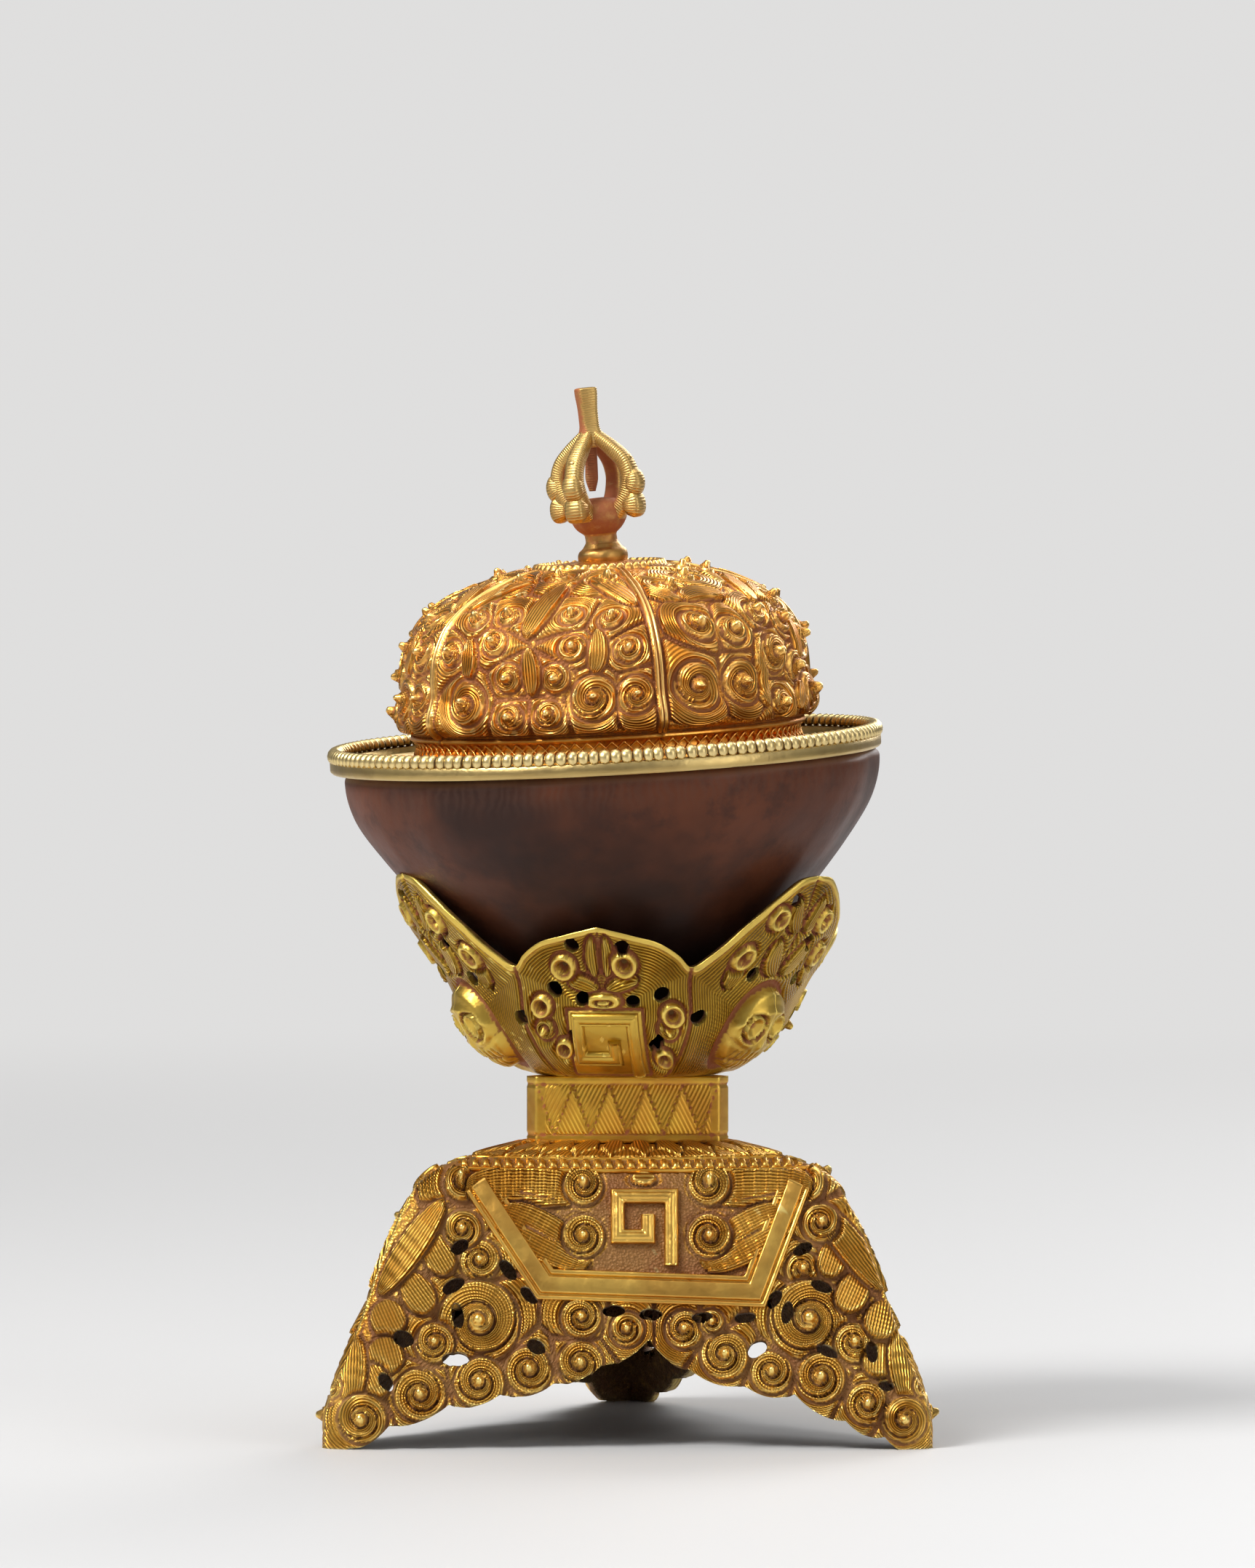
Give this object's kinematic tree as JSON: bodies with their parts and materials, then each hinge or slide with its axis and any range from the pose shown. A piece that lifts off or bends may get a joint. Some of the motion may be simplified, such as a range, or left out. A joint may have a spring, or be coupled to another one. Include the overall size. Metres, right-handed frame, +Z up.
{
  "type": "lidded chalice",
  "caption": "Lidded skull-cup chalice on a pierced three-footed stand, with beaded rim, domed lid and half-thunderbolt finial.",
  "frame": {"origin": "on the ground plane of the three feet, under the middle of the whole chalice's box; the stand's own axis is 4.2 mm in front of it", "axes": "+Z up, -Y towards the front face of the stand, +X to the right as seen from the front"},
  "size_m": [0.0855, 0.0895, 0.1466],
  "materials": {
    "stand_gilt": "hand chased gilding with red-brown pigment in the recesses",
    "neck_gilt": "satin gilding, engraved",
    "crown_gilt": "greenish gilding with red pigment in the recesses",
    "cup_patina": "dark reddish-brown mottled patina, satin",
    "rim_gilt": "pale brushed gilding",
    "lid_gilt": "warm hand chased gilding",
    "finial_gilt": "dull gilding worn to copper in the recesses"
  },
  "bodies": {
    "root": {"foot_shell": "stand_gilt", "neck_collar": "neck_gilt", "petal_crown": "crown_gilt", "skull_cup": "cup_patina", "rim_band": "rim_gilt", "rim_beading": "rim_gilt", "lid_dome": "lid_gilt", "vajra_finial": "finial_gilt"}
  },
  "joints": []
}
